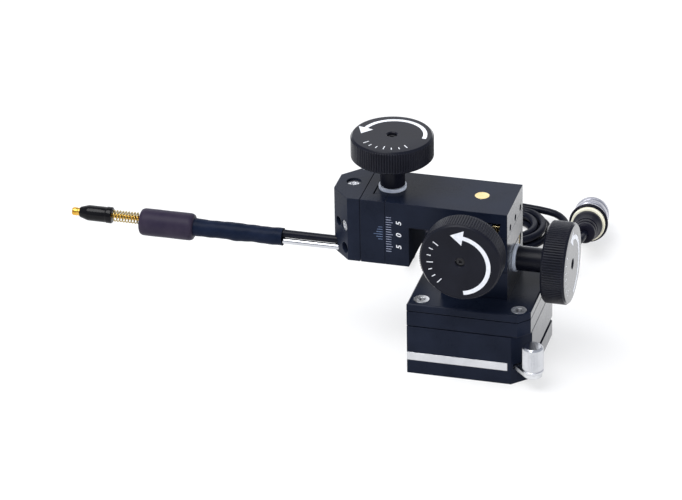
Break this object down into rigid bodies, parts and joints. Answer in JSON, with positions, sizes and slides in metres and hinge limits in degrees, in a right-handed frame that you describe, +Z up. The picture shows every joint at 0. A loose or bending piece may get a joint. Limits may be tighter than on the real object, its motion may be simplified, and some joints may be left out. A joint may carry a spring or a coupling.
{
  "type": "probe positioner",
  "caption": "Compact magnetic-base probe positioner with dovetail X, Y and Z slides, large knurled knobs and a spring-tipped probe arm on a thin coaxial cable",
  "frame": {"origin": "Centre of the magnetic base's underside, which is the face that the positioner stands on.", "axes": "+Z is up. +X points from the probe arm to the X knob, so the probe reaches along -X. The operator stands on the -Y side, where the Y knob and the lever are; the cable leaves on the +Y side."},
  "size_m": [0.1906, 0.1415, 0.0858],
  "materials": {
    "black_anodised": "fine satin black anodise",
    "bare_aluminium": "bright machined",
    "steel": "bright zinc or nickel plated",
    "black_steel": "black oxide",
    "magnet_steel": "ground, bare",
    "brass": "turned, bare",
    "gold": "gold plated",
    "white_nylon": "smooth white",
    "shrink_tube": "soft satin, dark navy black",
    "tip_plastic": "polished black",
    "cable_jacket": "smooth satin black",
    "soft_black": "moulded, satin",
    "nickel": "bright nickel plate",
    "clear_tie": "milky nylon"
  },
  "bodies": {
    "base": {"base_housing": "black_anodised", "base_stripe": "bare_aluminium", "pole_plate": "magnet_steel", "middle_plate": "black_anodised", "top_plate": "black_anodised", "top_plate_screws": "steel", "base_screws": "steel", "x_base_screws": "steel", "x_base": "black_anodised", "x_bush": "brass", "x_washer": "white_nylon"},
    "lever": {"switch_lever": "steel", "lever_knob": "bare_aluminium", "lever_stud": "steel", "magnet_rotor": "magnet_steel"},
    "x_knob": {"x_lead_screw": "steel", "x_knob": "black_anodised", "x_knob_screw": "black_steel"},
    "carriage": {"xy_carriage": "black_anodised", "x_nut": "brass", "x_gib": "brass", "x_gib_screws": "black_steel", "y_bush": "brass", "y_washer": "white_nylon"},
    "y_knob": {"y_lead_screw": "steel", "y_knob": "black_anodised", "y_knob_screw": "black_steel"},
    "bracket": {"z_bracket": "black_anodised", "y_nut": "brass", "y_gib": "brass", "y_gib_screws": "black_steel", "z_bush": "brass", "z_washer": "white_nylon", "cable_lead": "cable_jacket", "cable_coil": "cable_jacket", "cable_tail": "cable_jacket", "cable_tie": "clear_tie", "connector_boot": "soft_black", "connector_shell": "nickel", "connector_seal": "soft_black"},
    "z_knob": {"z_lead_screw": "steel", "z_knob": "black_anodised", "z_knob_screw": "black_steel"},
    "arm": {"z_slide": "black_anodised", "z_nut": "brass", "z_gib": "brass", "z_gib_screws": "black_steel", "clamp_block": "black_anodised", "clamp_block_screws": "black_steel", "clamp_screws": "steel", "rod_clamp_screw": "steel", "probe_rod": "steel", "front_cable": "cable_jacket", "cable_gland": "soft_black", "shrink_sleeve": "shrink_tube", "shrink_collar": "shrink_tube", "arm_core": "gold", "tip_spring": "gold"},
    "tip": {"tip_sleeve": "tip_plastic", "probe_tip": "gold"}
  },
  "joints": [
    {"name": "lever_swing", "type": "hinge", "parent": "base", "child": "lever", "pos_m": [0, 0, 0.007], "axis": [0, 0, 1], "range_deg": [0, 90]},
    {"name": "x_knob_turn", "type": "hinge", "parent": "base", "child": "x_knob", "pos_m": [0.03, 0, 0.0403], "axis": [-1, 0, 0], "range_deg": [-2341, 2341]},
    {"name": "x_slide", "type": "slide", "parent": "base", "child": "carriage", "axis": [1, 0, 0], "range_m": [-0.0065, 0.0065]},
    {"name": "y_knob_turn", "type": "hinge", "parent": "carriage", "child": "y_knob", "pos_m": [0, -0.03, 0.0545], "axis": [0, 1, 0], "range_deg": [-2341, 2341]},
    {"name": "y_slide", "type": "slide", "parent": "carriage", "child": "bracket", "axis": [0, -1, 0], "range_m": [-0.0065, 0.0065]},
    {"name": "z_knob_turn", "type": "hinge", "parent": "bracket", "child": "z_knob", "pos_m": [-0.0336, 0, 0.08], "axis": [0, 0, -1], "range_deg": [-2341, 2341]},
    {"name": "z_slide", "type": "slide", "parent": "bracket", "child": "arm", "axis": [0, 0, 1], "range_m": [-0.0065, 0.0065]},
    {"name": "tip_plunge", "type": "slide", "parent": "arm", "child": "tip", "axis": [1, 0, 0], "range_m": [0, 0.003], "stiffness_N_per_m": 300, "springref_m": -0.001, "deforming": ["tip_spring"]}
  ],
  "couplings": [
    {"joint": "x_knob_turn", "follows": "x_slide", "rad_per_m": 6283.2},
    {"joint": "y_knob_turn", "follows": "y_slide", "rad_per_m": 6283.2},
    {"joint": "z_knob_turn", "follows": "z_slide", "rad_per_m": 6283.2}
  ]
}
